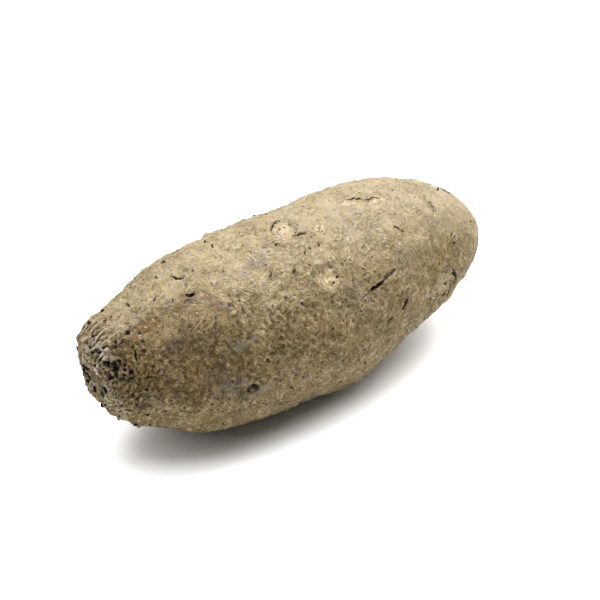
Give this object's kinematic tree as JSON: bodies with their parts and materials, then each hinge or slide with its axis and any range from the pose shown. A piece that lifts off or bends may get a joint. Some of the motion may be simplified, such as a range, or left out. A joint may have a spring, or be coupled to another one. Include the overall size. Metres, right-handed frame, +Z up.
{
  "type": "yam tuber",
  "caption": "Whole raw yam tuber lying on its side, with a corky knobbed crown, a blunt tip, warty brown bark-like skin and healed scars. For kitchen, market and still-life scenes.",
  "frame": {"origin": "on the surface that the tuber rests on, under the middle of its box", "axes": "+X along the tuber from the crown to the growing tip, +Z up, +Y away from the side that shows the pitted scar and the gash"},
  "size_m": [0.28, 0.1132, 0.1121],
  "materials": {
    "yam_skin": "dry matt corky skin, mottled tan to grey-brown, darkest at the crown"
  },
  "bodies": {
    "root": {"tuber": "yam_skin"}
  },
  "joints": []
}
